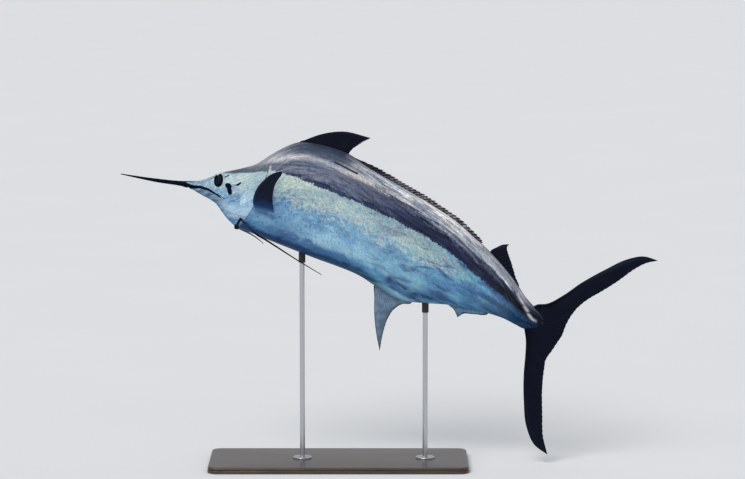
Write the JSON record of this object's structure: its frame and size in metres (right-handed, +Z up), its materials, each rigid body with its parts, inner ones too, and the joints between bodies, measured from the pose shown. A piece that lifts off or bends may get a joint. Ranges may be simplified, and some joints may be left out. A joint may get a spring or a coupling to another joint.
{
  "type": "leaping marlin model on a display stand",
  "caption": "Life-size still model of a leaping marlin, arched with bill, raised fins and forked tail, held on two rods over a flat base.",
  "frame": {"origin": "on the underside of the stand's base, in the fish's middle plane", "axes": "+X from the bill towards the tail, -Y on the fish's left side, +Z up"},
  "size_m": [3.0873, 0.9507, 1.9349],
  "materials": {
    "bill": "wet gloss",
    "skin": "wet gloss",
    "eye": "high gloss",
    "fin": "wet gloss",
    "stand_base": "satin lacquer",
    "stand_rod": "brushed"
  },
  "bodies": {
    "root": {"bill": "bill", "head": "skin", "lower_jaw": "skin", "gill_cover_left": "skin", "gill_cover_right": "skin", "torso_front": "skin", "torso_rear": "skin", "tail_stock": "skin", "eye_left": "eye", "eye_right": "eye", "dorsal_fin_first": "fin", "dorsal_fin_ridge": "fin", "dorsal_fin_second": "fin", "anal_fin_first": "fin", "anal_fin_second": "fin", "pectoral_fin_left": "fin", "pectoral_fin_right": "fin", "pelvic_fin_left": "fin", "pelvic_fin_right": "fin", "tail_fin_upper": "fin", "tail_fin_lower": "fin", "stand_base": "stand_base", "stand_rod_front": "stand_rod", "stand_rod_rear": "stand_rod", "stand_rod_front_foot": "stand_rod", "stand_rod_rear_foot": "stand_rod"}
  },
  "joints": []
}
